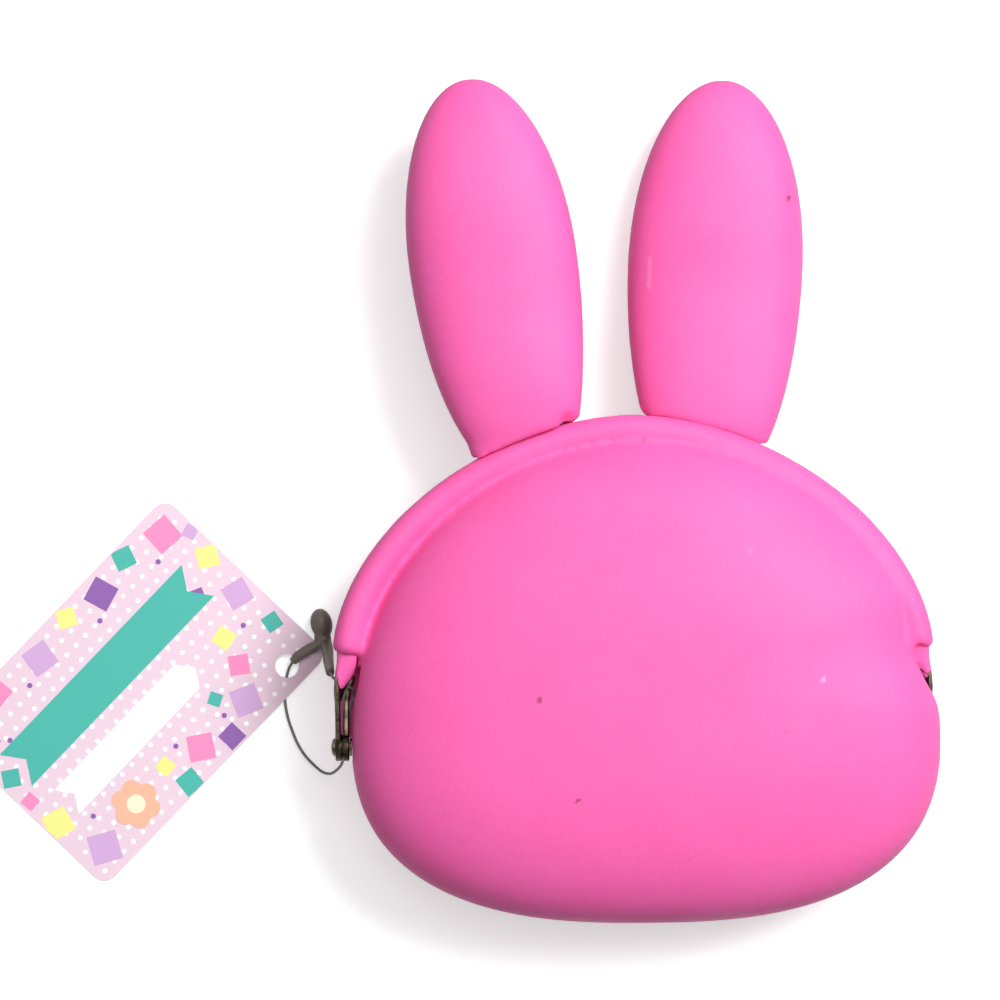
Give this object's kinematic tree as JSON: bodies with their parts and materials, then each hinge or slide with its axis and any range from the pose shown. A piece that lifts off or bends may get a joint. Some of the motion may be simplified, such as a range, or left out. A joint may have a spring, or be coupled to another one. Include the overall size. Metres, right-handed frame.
{
  "type": "silicone coin purse",
  "caption": "Rounded silicone coin purse with a hidden hinged steel frame, long ears as the kiss-lock knobs, and a blank card tag on a nylon loop.",
  "frame": {"origin": "the point of the flat patch on the far dome, on the purse's centre line straight below the hinge axis", "axes": "+X to the right across the purse, +Y from its bottom to the ear tips, +Z from the far dome out of the near dome"},
  "size_m": [0.1666, 0.1407, 0.032],
  "materials": {
    "silicone": "matte moulded pink silicone rubber",
    "frame_steel": "nickel-plated stamped steel",
    "rivet_steel": "nickel-plated steel",
    "clasp_steel": "plain plated steel",
    "core_plastic": "natural moulded plastic",
    "printed_card": "printed and varnished card",
    "nylon": "grey nylon monofilament",
    "lock_plastic": "grey-brown moulded plastic"
  },
  "bodies": {
    "back_half": {"pouch": "silicone", "back_frame": "frame_steel", "hinge_rivet_left": "rivet_steel", "hinge_rivet_right": "rivet_steel", "hinge_washer_left": "rivet_steel", "hinge_washer_right": "rivet_steel", "back_clasp": "clasp_steel", "ear_core_right": "core_plastic", "ear_sleeve_right": "silicone", "swing_tag": "printed_card", "tag_loop": "nylon", "loop_lock": "lock_plastic"},
    "front_half": {"front_flap": "silicone", "front_frame": "frame_steel", "front_clasp": "clasp_steel", "ear_core_left": "core_plastic", "ear_sleeve_left": "silicone"}
  },
  "joints": [
    {"name": "mouth_hinge", "type": "hinge", "parent": "back_half", "child": "front_half", "pos_m": [0, 0, 0.016], "axis": [1, 0, 0], "range_deg": [0, 75], "deforming": ["front_flap"]}
  ]
}
